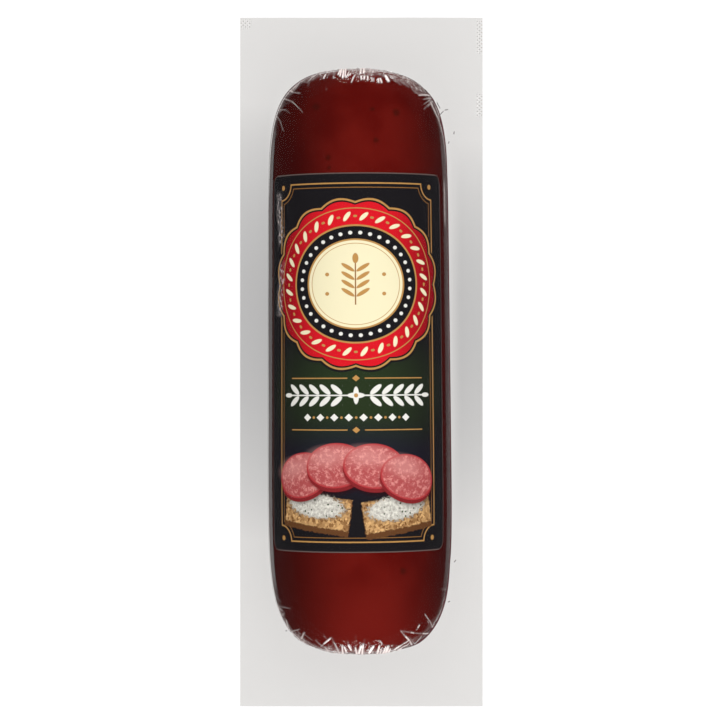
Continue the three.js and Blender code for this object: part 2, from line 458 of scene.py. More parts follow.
@dataclass(frozen=True)
class CasingFinish:
    """Smoked casing: deep red, softly clouded, with painted shade on its sides and painted light towards its
    -Y end, and with blurred spots of spice under it.

    Each of the spots that show on the front has x, y and a radius, in millimetres.
    """

    deep: Colour = (0.100, 0.0044, 0.0032)
    bright: Colour = (0.133, 0.0078, 0.0054)
    # Painted shade: the colour that the casing darkens to on its sides, away from the light above.
    painted_flank_shade: Colour = (0.0235, 0.0040, 0.0039)
    spot: Colour = (0.034, 0.0055, 0.0032)
    # Painted light: the casing is lightened to this colour towards its -Y end, fully below the first y and
    # not at all above the second.
    painted_end_light: Colour = (0.172, 0.0120, 0.0085)
    painted_light_span: Pair = (-84 * MM, -56 * MM)
    half_width: float = 27.75 * MM
    middle: float = 2.2 * MM
    axis_height: float = 26.4 * MM
    cloud: float = 14 * MM
    grain: float = 2.4 * MM
    spacing: float = 17 * MM
    roughness: float = 0.55
    spots: Rows = (
        (-13.5, 76.4, 1.3), (3.2, 75.4, 0.7), (10.4, 74.6, 1.2), (4.4, 66.0, 0.9), (-9.9, 60.9, 1.0),
        (-9.6, 57.7, 0.7), (12.4, -62.4, 1.1),
    )

    def make(self) -> Material:
        """Writes the casing's recipe.

        Returns:
            The material.
        """
        recipe = Recipe("smoked_casing")
        at = recipe.place()
        x, y, z = recipe.split(at)
        clouds = recipe.noise(at, self.cloud, 3)
        colour = recipe.mix(clouds.above(0.36, 0.64), self.deep, self.bright)
        grain = recipe.noise(at, self.grain, 3, 0.6).above(0.42, 0.80)
        colour = recipe.mix(grain * 0.22, colour, self.deep)
        # Painted light: lighter towards the -Y end, which the lamps leave darker.
        colour = recipe.mix((1 - y.above(*self.painted_light_span)) * 0.85, colour, self.painted_end_light)
        # Painted shade: the casing darkens towards its sides, away from the light above.
        side = (abs(x - self.middle) * (1 / self.half_width)).above(0.12, 1.0)
        colour = recipe.mix(side * 0.78, colour, self.painted_flank_shade)
        front = z.above(self.axis_height, self.axis_height + 4 * MM)
        colour = recipe.mix(self.scattered(recipe, at) * (1 - front) * 0.7, colour, self.spot)
        colour = recipe.mix(self.placed(recipe, at) * front * 0.6, colour, self.spot)
        uneven = recipe.bump(recipe.noise(at, 0.7 * MM, 3) * 0.4 + clouds, 0.2, 0.4 * MM)
        return recipe.finish(recipe.surface(colour, self.roughness, Normal=uneven))

    def scattered(self, recipe: Recipe, at: Wire) -> Wire:
        """Soft spots strewn over the casing.

        Args:
            recipe: the material's recipe.
            at: the point in the piece's own frame.

        Returns:
            How much of a spot there is, from 0 to 1.
        """
        near = recipe.cells(at, self.spacing) + recipe.noise(at, 1.2 * MM) * 0.05
        chance = recipe.split(recipe.cells(at, self.spacing, "Color"))[0]
        return (1 - near.above(0.05, 0.13)) * chance.above(0.45, 0.55)

    def placed(self, recipe: Recipe, at: Wire) -> Wire:
        """The soft spots that show on the front.

        Args:
            recipe: the material's recipe.
            at: the point in the piece's own frame.

        Returns:
            How much of a spot there is, from 0 to 1.
        """
        flat = recipe.stretch(at, (1.0, 1.0, 0.0))
        blur = (recipe.noise(at, 1.0 * MM, 3) - 0.5) * (0.9 * MM)
        covers = []
        for x, y, radius in self.spots:
            middle = (x * MM, y * MM, 0.0)
            apart = recipe.add("VectorMath", {0: flat, 1: middle}, "Value", operation="DISTANCE") + blur
            covers.append(1 - apart.above(radius * 0.35 * MM, radius * 1.35 * MM))
        return recipe.most(covers)


@dataclass(frozen=True)
class FilmFinish:
    """Clear film: glossy, pale in its folds, partly with painted glints, with a painted shadow beside the
    sausage, and knurled in places along its seal, with painted shade and highlights.

    Each knurled patch of the border has its left, right, low and high edge in millimetres. Each crimp has
    x, y, its turn in degrees and its length. Beside the sausage a painted shadow darkens the film over x
    between two edges, and along y from a middle to a reach.
    """

    tint: Colour = (0.868, 0.861, 0.854)
    flat: Colour = (0.842, 0.835, 0.828)
    # Painted shadow: the border's tint beside the sausage's middle, where the sausage shades the table under
    # it.
    painted_shadow_tint: Colour = (0.707, 0.7035, 0.7025)
    # The colour of the film's own whitening and cloudiness, and of its painted glints and reflections.
    haze_and_glint: Colour = (0.90, 0.75, 0.72)
    collar: Colour = (0.105, 0.026, 0.031)
    # Painted shade and highlights: crimp darkens the dents, seal the knurl's pressed diamonds, and raised
    # lightens its raised diamonds.
    crimp: Colour = (0.16, 0.15, 0.145)
    seal: Colour = (0.40, 0.39, 0.38)
    raised: Colour = (0.86, 0.85, 0.84)
    # Where the painted shadow lies on each side: x from and to, then the middle and the reach in y, all in
    # millimetres.
    painted_shadow_right: tuple[float, ...] = (26, 31, 8, 60)
    painted_shadow_left: tuple[float, ...] = (24, 29, 12, 67)
    pleat: float = 0.9 * MM
    wrinkle: float = 0.8 * MM
    knurl_pitch: Pair = (1.28 * MM, 1.15 * MM)
    knurled: Rows = (
        (35.1, 37.4, 94.0, 105.2), (35.1, 37.4, 74.7, 82.7), (-37.2, -33.6, 101.6, 105.4),
    )
    crimped: Rows = (
        (24.6, 76.3, 42, 1.7), (26.0, 77.2, 14, 1.2), (28.4, 70.2, 80, 0.9), (26.8, 67.2, 75, 0.8),
        (23.6, 78.6, 116, 2.3), (28.7, -61.0, 60, 0.9), (26.8, -73.4, 20, 0.7), (-23.0, -82.4, 10, 0.5),
    )

    def make(self) -> Material:
        """Writes the film's recipe.

        Returns:
            The material.
        """
        recipe = Recipe("clear_film")
        at = recipe.place()
        x, y, z = recipe.split(at)
        border, collar, loose, fold_white_and_glint, rim_haze_and_reflection, sheen = (
            recipe.read(name) for name in ("border", "collar", "loose", "fold_white_and_glint", "rim_haze_and_reflection", "sheen")
        )
        wrinkles = recipe.noise(recipe.stretch(at, (1.0, 0.6, 1.0)), self.wrinkle, 4, 0.7)
        lean = recipe.add("CombineXYZ", {0: x + z * 0.8, 1: y + z * 0.8, 2: z * 0.22})
        pleats = recipe.noise(lean, self.pleat, 3, 0.6).above(0.42, 0.62)
        knurl = self.knurl(recipe, x, y) * border
        pressed, raised = knurl.clamp(), (0 - knurl).clamp()
        normal = recipe.bump(wrinkles * loose + knurl * 0.5 + pleats * rim_haze_and_reflection * 2.0, 0.35, 0.3 * MM)

        # Painted shadow: the border is tinted darker beside the sausage's middle, where the sausage shades
        # the table under it.
        beside = self.beside(x, y, self.painted_shadow_right) * 0.84 + self.beside(0 - x, y, self.painted_shadow_left)
        tint = recipe.mix(beside, recipe.mix(border, self.tint, self.flat), self.painted_shadow_tint)
        body = recipe.add("BsdfTransparent", {"Color": tint})
        # Painted highlights, partly real whitening: the white of the wrinkled band, the folds and the rim is
        # partly the film's own cloudiness and partly painted glare, glints and reflection; the raised
        # diamonds of the knurl are painted highlights.
        white_and_glints = loose * wrinkles.above(0.51, 0.59) * 0.4 + fold_white_and_glint + rim_haze_and_reflection * (0.35 + pleats * 1.3)
        white_and_glints = (white_and_glints + raised * 0.5).clamp()
        pale = recipe.mix(raised.above(0.0, 0.1), self.haze_and_glint, self.raised)
        body = recipe.blend(white_and_glints, body, recipe.surface(pale, 0.6))
        juice = recipe.surface(self.collar, 0.6, Normal=normal)
        body = recipe.blend((collar * 0.9).clamp(), body, juice)
        # Painted shade: the dents and the knurl's pressed diamonds are painted dark.
        dents = (self.crimps(recipe, at, x, y) * border * 0.6 + pressed * 0.55).clamp()
        dark = recipe.mix(pressed.above(0.0, 0.1), self.crimp, self.seal)
        body = recipe.blend(dents, body, recipe.surface(dark, 0.5, 0.2))

        fresnel = recipe.add("Fresnel", {"IOR": 1.4, "Normal": normal})
        folded = (loose * 0.4 + fold_white_and_glint + rim_haze_and_reflection * pleats).clamp()
        shine = fresnel * (0.05 + fresnel * 0.04 + folded + sheen + border * 0.4) * (1 - collar * 0.7)
        gloss = recipe.add("BsdfGlossy", {"Color": (1, 1, 1), "Roughness": 0.05, "Normal": normal})
        return recipe.finish(recipe.blend(shine.clamp(), body, gloss))

    @staticmethod
    def beside(x: Wire, y: Wire, where: tuple[float, ...]) -> Wire:
        """How much painted shadow the border takes on one side of the sausage, from 0 to 1."""
        low, high, middle, reach = (size * MM for size in where)
        return x.above(low, high) * (1 - ((y - middle) * (1 / reach)) ** 2).clamp()

    def crimps(self, recipe: Recipe, at: Wire, x: Wire, y: Wire) -> Wire:
        """Small sharp dents in the border beside the sausage, painted as dark strokes of shade.

        Args:
            recipe: the material's recipe.
            at: the point in the piece's own frame.
            x: the point's x.
            y: the point's y.

        Returns:
            How much of a dent there is, from 0 to 1.
        """
        wander = (recipe.noise(at, 1.5 * MM) - 0.5) * (0.5 * MM)
        covers = []
        for to_x, to_y, turn, length in self.crimped:
            along, across = turned(x - to_x * MM, y - to_y * MM, turn)
            inside = 1 - abs(along).above(length * 0.3 * MM, length * 0.6 * MM)
            covers.append(inside * (1 - abs(across + wander).above(0.06 * MM, 0.24 * MM)))
        return recipe.most(covers)

    def knurl(self, recipe: Recipe, x: Wire, y: Wire) -> Wire:
        """The diamonds of the sealing bar in the border.

        Args:
            recipe: the material's recipe.
            x: the point's x.
            y: the point's y.

        Returns:
            The pattern, from 1 where it is pressed in to -1 where it is raised.
        """
        across_turns, along_turns = (2 * math.pi / pitch for pitch in self.knurl_pitch)
        diamonds = recipe.maths("SINE", x * across_turns) * recipe.maths("SINE", y * along_turns)
        covers = []
        for patch in self.knurled:
            left, right, low, high = (size * MM for size in patch)
            across = 1 - abs(x - (left + right) / 2).above((right - left) / 2 - 0.4 * MM, (right - left) / 2)
            along = 1 - abs(y - (low + high) / 2).above((high - low) / 2 - 1.5 * MM, (high - low) / 2)
            covers.append(across * along)
        return diamonds * recipe.most(covers)


class Print:
    """Simple shapes in a recipe, in millimetres on the flat label, from its middle."""

    def __init__(self, recipe: Recipe, ground: Colour) -> None:
        """Starts with an unprinted ground.

        Args:
            recipe: the material's recipe.
            ground: the colour of the unprinted label.
        """
        self.recipe = recipe
        self.at = recipe.stretch(recipe.add("UVMap", uv_map="label"), (100.0, 100.0, 0.0))
        self.u, self.v, _ = recipe.split(self.at)
        self.colour: Wire | Colour = ground

    def ink(self, distance: Wire, colour: Wire | Colour, soft: float = 0.12, strength: float = 1) -> None:
        """Prints a colour where a distance is below zero, with an edge of a softness and at a strength."""
        cover = self.recipe.maths("MULTIPLY_ADD", distance, -1 / soft, 0.5, clamp=True)
        self.colour = self.recipe.mix(cover * strength if strength < 1 else cover, self.colour, colour)

    def length(self, x: Wire, y: Wire) -> Wire:
        """The length of a flat vector."""
        return self.recipe.maths("SQRT", x * x + y * y)

    def oval(self, x: Wire, y: Wire, half: Pair) -> Wire:
        """How far outside an oval about the origin."""
        return (self.length(x * (1 / half[0]), y * (1 / half[1])) - 1) * min(half)

    def box(self, x: Wire, y: Wire, half: Pair) -> Wire:
        """How far outside a box about the origin."""
        return self.both(abs(x) - half[0], abs(y) - half[1])

    def both(self, first: Wire, second: Wire) -> Wire:
        """How far outside what two shapes have in common."""
        return self.recipe.maths("MAXIMUM", first, second)

    def line(self, distance: Wire, width: float) -> Wire:
        """How far from a shape's own outline, drawn with a width."""
        return abs(distance) - width / 2


@dataclass(frozen=True)
class LabelFinish:
    """A black label with a generic print: gold frame, red rosette, ornament, and slices with crackers.

    All its sizes are in millimetres on the flat label, from its middle.
    """

    black: Colour = (0.0125, 0.0115, 0.0135)
    gold: Colour = (0.50, 0.27, 0.085)
    gold_dark: Colour = (0.30, 0.14, 0.04)
    red: Colour = (0.66, 0.012, 0.022)
    # Painted shade: the rosette's red darkens to this towards its sides.
    painted_shade_red: Colour = (0.26, 0.008, 0.014)
    cream: Colour = (0.86, 0.80, 0.55)
    white: Colour = (0.80, 0.80, 0.76)
    green_glow: Colour = (0.024, 0.040, 0.016)
    blue_glow: Colour = (0.016, 0.015, 0.034)
    biscuit: tuple[Colour, Colour] = ((0.20, 0.085, 0.030), (0.74, 0.46, 0.20))
    biscuit_side: Colour = (0.13, 0.055, 0.022)
    cheese: tuple[Colour, Colour] = ((0.42, 0.40, 0.36), (0.80, 0.79, 0.72))
    cheese_edge: Colour = (0.16, 0.14, 0.11)
    herb: Colour = (0.035, 0.060, 0.025)
    meat: Colour = (0.43, 0.085, 0.088)
    fat: Colour = (0.70, 0.27, 0.25)
    pepper: Colour = (0.16, 0.025, 0.022)
    rind: Colour = (0.46, 0.050, 0.055)
    cut_side: Colour = (0.23, 0.022, 0.026)
    shadow: Colour = (0.03, 0.004, 0.004)
    gleam: Colour = (0.86, 0.45, 0.42)
    paper: Colour = (0.30, 0.22, 0.20)
    roughness: float = 0.42
    frame_half: Pair = (26.6, 53.4)
    rosette: Pair = (0.0, 23.4)
    rosette_stretch: float = 1.13
    scallops: float = 8.0
    petals: tuple[int, float] = (28, 20.2)
    beads: tuple[int, float] = (36, 15.3)
    laurel: float = -9.7
    lozenges: float = -16.3
    rules: Pair = (-4.6, -20.0)
    slice_half: Pair = (9.4, 6.7)
    slices: Rows = ((-17.6, -33.6, 13), (-6.4, -30.6, 5), (5.4, -30.8, -5), (16.4, -34.2, -14))
    crackers: Rows = ((-13.0, -44.0, -8), (13.2, -44.6, 9))

    def make(self) -> Material:
        """Writes the label's recipe.

        Returns:
            The material.
        """
        recipe = Recipe("printed_label")
        sheet = Print(recipe, self.black)
        for draw in (self.glow, self.border, self.medallion, self.ornament, self.picture, self.cut_edge):
            draw(sheet)
        paper = recipe.bump(recipe.noise(sheet.at, 0.35), 0.08, 0.02 * MM)
        return recipe.finish(recipe.surface(sheet.colour, self.roughness, Normal=paper))

    def glow(self, sheet: Print) -> None:
        """A soft green light in the ground behind the ornament, and blue above the picture."""
        sheet.ink(sheet.oval(sheet.u, sheet.v + 9.0, (22.0, 15.0)), self.green_glow, 16, 0.9)
        sheet.ink(sheet.oval(sheet.u, sheet.v + 29.0, (18.0, 8.0)), self.blue_glow, 12, 0.8)

    def border(self, sheet: Print) -> None:
        """A double gold frame whose corners are bitten off by quarter rounds.

        Args:
            sheet: the label's print so far, which is added to.
        """
        x, y = abs(sheet.u) - self.frame_half[0], abs(sheet.v) - self.frame_half[1]
        bite = 0 - (sheet.length(x, y) - 4.6)
        panel = sheet.both(sheet.box(sheet.u, sheet.v, self.frame_half), bite)
        sheet.ink(sheet.line(panel, 0.42), self.gold)
        sheet.ink(sheet.line(panel + 1.25, 0.22), self.gold_dark)
        sheet.ink(sheet.length(x + 0.8, y + 0.8) - 0.75, self.gold)

    def medallion(self, sheet: Print) -> None:
        """A scalloped red rosette round a cream disc with a herb sprig, a little wider than tall.

        Args:
            sheet: the label's print so far, which is added to.
        """
        recipe = sheet.recipe
        x, y = (sheet.u - self.rosette[0]) * (1 / self.rosette_stretch), sheet.v - self.rosette[1]
        radius, angle = sheet.length(x, y), recipe.maths("ARCTAN2", y, x)
        scallop = radius + abs(recipe.maths("SINE", angle * self.scallops)) * -1.3
        # Painted shade: the red darkens towards the rosette's sides, where the label turns away round the
        # sausage.
        red = recipe.mix(abs(x).above(7.0, 25.0), self.red, self.painted_shade_red)
        for reach, colour in ((25.3, self.black), (24.6, self.gold), (24.0, self.black), (23.5, red)):
            sheet.ink(scallop - reach, colour)
        sheet.ink(sheet.line(radius - 22.6, 0.28), self.gold)
        petal = self.ring(angle, radius, *self.petals)
        sheet.ink(sheet.oval(*turned(*petal, 38), (0.6, 1.6)), self.cream)
        sheet.ink(sheet.length(abs(petal[0]) - 2.1, petal[1]) - 0.34, self.gold)
        sheet.ink(radius - 17.7, self.gold)
        sheet.ink(radius - 17.2, self.black)
        sheet.ink(sheet.length(*self.ring(angle, radius, *self.beads)) - 0.55, self.white)
        sheet.ink(radius - 13.5, self.gold)
        sheet.ink(radius - 13.0, self.cream)
        sheet.ink(sheet.line(radius - 12.1, 0.18), self.gold)
        self.sprig(sheet, x * 1.25, y * 1.25)

    @staticmethod
    def ring(angle: Wire, radius: Wire, count: int, size: float) -> tuple[Wire, Wire]:
        """Coordinates about each of a count of places round a ring of a size."""
        turn = (angle * (count / (2 * math.pi))) % 1.0 - 0.5
        return turn * (2 * math.pi / count) * size, radius - size

    def sprig(self, sheet: Print, x: Wire, y: Wire) -> None:
        """An upright sprig with pairs of leaves, under a bulb, between four dots.

        Args:
            sheet: the label's print so far, which is added to.
            x: how far right of the disc's middle.
            y: how far above the disc's middle.
        """
        side = abs(x)
        sheet.ink(sheet.box(x, y - 0.5, (0.22, 8.2)), self.gold_dark)
        rise = y - side * 0.62
        leaf = sheet.oval(side - 2.5, (rise + 6.2) % 3.1 - 1.55, (2.2, 0.85))
        sheet.ink(sheet.both(leaf, abs(rise) - 6.2), self.gold)
        sheet.ink(sheet.oval(x, y - 9.6, (1.0, 1.9)), self.gold)
        for height in (-3.6, 3.6):
            sheet.ink(sheet.oval(side - 9.6, y - height, (0.7, 0.7)), self.gold)

    def ornament(self, sheet: Print) -> None:
        """A white laurel with a flower in its middle, over a row of lozenges, between gold rules.

        Args:
            sheet: the label's print so far, which is added to.
        """
        u, side, v = sheet.u, abs(sheet.u), sheet.v - self.laurel
        sheet.ink(sheet.box(side - 12.0, v, (9.6, 0.20)), self.white)
        leaf = turned((side - 4.1) % 3.6 - 1.8, abs(v) - 1.75, 40)
        sheet.ink(sheet.both(sheet.oval(*leaf, (2.15, 0.80)), abs(side - 13.1) - 9.0), self.white)
        sheet.ink(sheet.oval(side - 22.9, v, (1.5, 0.65)), self.white)
        for half in ((0.85, 2.6), (2.6, 0.85)):
            sheet.ink(sheet.oval(u, v, half), self.white)
        sheet.ink(sheet.length(u, v) - 0.62, self.gold)
        v = sheet.v - self.lozenges
        sheet.ink(sheet.both(abs(u % 4.4 - 2.2) + abs(v) * 1.1 - 1.25, side - 17.4), self.white)
        sheet.ink(sheet.both(sheet.length((u + 2.2) % 4.4 - 2.2, v) - 0.38, side - 17.0), self.gold)
        for height in self.rules:
            v = sheet.v - height
            gap = sheet.box(u, v, (2.6, 1.0))
            sheet.ink(sheet.both(sheet.box(u, v, (21.5, 0.16)), 0 - gap), self.gold)
            sheet.ink(side + abs(v) * 1.2 - 1.15, self.gold)

    def picture(self, sheet: Print) -> None:
        """Slices fanned out over two crackers with herbed cheese, as fields of colour.

        Args:
            sheet: the label's print so far, which is added to.
        """
        recipe, at = sheet.recipe, sheet.at
        grit = recipe.noise(at, 0.9, 4, 0.7)
        biscuit = recipe.mix(recipe.split(recipe.cells(at, 0.75, "Color"))[0], *self.biscuit)
        flecks = recipe.cells(at, 1.35) + (grit - 0.5) * 0.35
        cheese = recipe.mix(grit.above(0.35, 0.65), *self.cheese)
        cheese = recipe.mix(1 - flecks.above(0.12, 0.26), cheese, self.herb)
        meat = recipe.mix(recipe.noise(at, 1.6, 5, 0.75).above(0.47, 0.62), self.meat, self.fat)
        pepper = 1 - recipe.cells(at, 1.15).above(0.06, 0.16)
        meat = recipe.mix(pepper * 0.7, meat, self.pepper)
        for u, v, turn in self.crackers:
            x, y = turned(sheet.u - u, sheet.v - v, turn)
            rough = (grit - 0.5) * 1.8
            sheet.ink(sheet.box(x, y + 1.5, (11.4, 4.9)) + rough, self.biscuit_side, 0.3)
            sheet.ink(sheet.box(x, y, (11.2, 4.7)) + rough, biscuit, 0.3)
            blob = sheet.oval(x + 0.3, y - 1.5, (10.6, 4.1)) + (grit - 0.5) * 4.0
            sheet.ink(blob + 0.1, self.cheese_edge, 0.6, 0.6)
            sheet.ink(blob + 0.5, cheese, 0.4)
        for u, v, turn in self.slices:
            x, y = turned(sheet.u - u, sheet.v - v, turn)
            sheet.ink(sheet.oval(x - 0.7, y + 1.7, self.slice_half), self.shadow, 1.8, 0.75)
            sheet.ink(sheet.oval(x, y + 1.15, self.slice_half), self.cut_side, 0.2)
            face = sheet.oval(x, y, self.slice_half)
            sheet.ink(face, self.rind, 0.2)
            sheet.ink(face + 0.45, meat, 0.35)
            sheet.ink(sheet.oval(x + 2.4, y - 2.7, (5.6, 2.7)), self.gleam, 3.2, 0.35)

    def cut_edge(self, sheet: Print) -> None:
        """The label's cut edge, which shows pale."""
        rim = sheet.recipe.read("rim").above(0.45, 0.85)
        sheet.colour = sheet.recipe.mix(rim * 0.5, sheet.colour, self.paper)


# ---- the pieces


@dataclass
class Casing:
    """The sausage itself, a little lumpy, just inside the film."""

    form: SausageForm
    per_end: int = 110
    per_side: int = 90
    rows: int = 120
    inset: float = 0.1 * MM
    lump: float = 0.05 * MM
    lump_size: float = 15 * MM
    finish: CasingFinish = field(default_factory=CasingFinish)

    def build(self) -> Piece:
        """Lays a grid round the form from its underside to its top, and closes it.

        Returns:
            The casing.
        """
        stations = Stations.around(self.form, self.per_end, self.per_side)
        elevation = np.linspace(-math.pi / 2, math.pi / 2, self.rows + 1)
        skin = stations.skin(self.form, elevation[:, None], -self.inset)
        skin[..., 2] = np.maximum(skin[..., 2], self.inset)
        piece, _ = lay_grid("casing", self.uneven(self.form.place(skin)), {})
        close_seams(piece)
        return piece

    def uneven(self, points: Array) -> Array:
        """Draws the skin in and out by broad lumps, sideways only.

        Args:
            points: points of the skin.

        Returns:
            The points, drawn in or out.
        """
        x, y, z = np.moveaxis(points, -1, 0) / self.lump_size
        lump = smooth_noise(y, np.arctan2(z - 1.7, x) * 1.6, 3)
        shrink = 1 + (lump - 1) * self.lump / (self.form.width / 2)
        return points * np.stack([shrink, 0 * x + 1, 0 * x + 1], axis=-1)

    def dress(self, piece: Piece) -> None:
        """Gives the casing its finish and its place in the part.

        Args:
            piece: the casing.
        """
        piece.data.materials.append(self.finish.make())
        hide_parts("sausage")
        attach(piece, "root")


@dataclass
class Label:
    """The label, wrapped round the front of the sausage under the film."""

    form: SausageForm
    height: float = 113.1 * MM
    middle: float = -0.4 * MM
    arc: float = math.radians(133.3)
    turn: float = math.radians(-1.7)
    corner: float = 3 * MM
    lift: float = -0.09 * MM
    thickness: float = 0.07 * MM
    rim: float = 0.9 * MM
    columns: int = 96
    rows: int = 150
    crowding: float = 1.12
    finish: LabelFinish = field(default_factory=LabelFinish)

    def build(self) -> Piece:
        """Wraps a grid round the form, rounds its corners and gives it its thickness.

        Returns:
            The label.
        """
        across, up = np.meshgrid(np.linspace(-1, 1, self.columns + 1), np.linspace(-1, 1, self.rows + 1))
        up = np.sign(up) * (1 - (1 - np.abs(up)) ** self.crowding) * self.height / 2
        cut = np.maximum(self.corner - (self.height / 2 - np.abs(up)), 0)
        loss = self.corner - np.sqrt(np.maximum(self.corner**2 - cut**2, 0))
        radius = self.form.width / 2
        half_arc = self.arc / 2 - loss / radius
        angle = self.turn + across * half_arc
        y = self.middle + up
        size = self.form.girth(y)
        x = (self.form.half_width(y) * size + self.lift) * np.sin(angle)
        z = self.form.axis_height + (self.form.depth / 2 * size + self.lift) * np.cos(angle)
        to_side = half_arc * radius * (1 - np.abs(across))
        to_edge = np.minimum(to_side, self.height / 2 - np.abs(up))
        notes = {"rim": 1 - np.clip(to_edge / self.rim, 0, 1)}
        piece, at = lay_grid("label_sheet", self.form.place(np.stack([x, y, z], axis=-1)), notes)
        self.unroll(piece, (angle - self.turn)[at] * radius, up[at])
        wall = piece.modifiers.new("wall", "SOLIDIFY")
        wall.thickness = self.thickness
        wall.offset = 1
        wall.use_quality_normals = True
        bpy.ops.object.modifier_apply(modifier=wall.name)
        bpy.ops.object.shade_smooth()
        return piece

    @staticmethod
    def unroll(piece: Piece, u: Array, v: Array) -> None:
        """Writes the UV map "label": one unit for 100 mm on the flat label, from its middle.

        Args:
            piece: the label.
            u: how far right of its middle each point is, in metres.
            v: how far above its middle each point is, in metres.
        """
        corners = np.zeros(len(piece.data.loops), np.int32)
        piece.data.loops.foreach_get("vertex_index", corners)
        flat = np.stack([u[corners], v[corners]], axis=-1) / (100 * MM)
        layer = piece.data.uv_layers.new(name="label")
        layer.data.foreach_set("uv", flat.astype(np.float32).ravel())

    def dress(self, piece: Piece) -> None:
        """Gives the label its print and its place in the part.

        Args:
            piece: the label.
        """
        piece.data.materials.append(self.finish.make())
        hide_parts("label")
        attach(piece, "root")


class Face(Enum):
    """The two films of the pouch."""

    FRONT = 1
    BACK = -1


@dataclass(frozen=True)
class Fold:
    """A sharp fold in the film as it shows from above, from its foot to its tip, in metres. Its white is
    partly the folded film's own whitening and partly a painted glint.
    """

    foot: Pair
    tip: Pair
    half_width: float
    height: float
    white: float

    @classmethod
    def of(cls, row: tuple[int, ...]) -> "Fold":
        """A fold from a row of the table below, which stands the higher the whiter it is.

        Args:
            row: x and y of its foot, how far its tip is from there in x and y, all in tenths of a
                millimetre, half its width in hundredths of one, and how white it is, in hundredths.

        Returns:
            The fold.
        """
        x, y, run_x, run_y, width, percent = row
        foot, tip = ((x / 10 * MM, y / 10 * MM), ((x + run_x) / 10 * MM, (y + run_y) / 10 * MM))
        white = percent / 100
        return cls(foot, tip, width / 100 * MM, (0.10 + 0.20 * white) * MM, white)


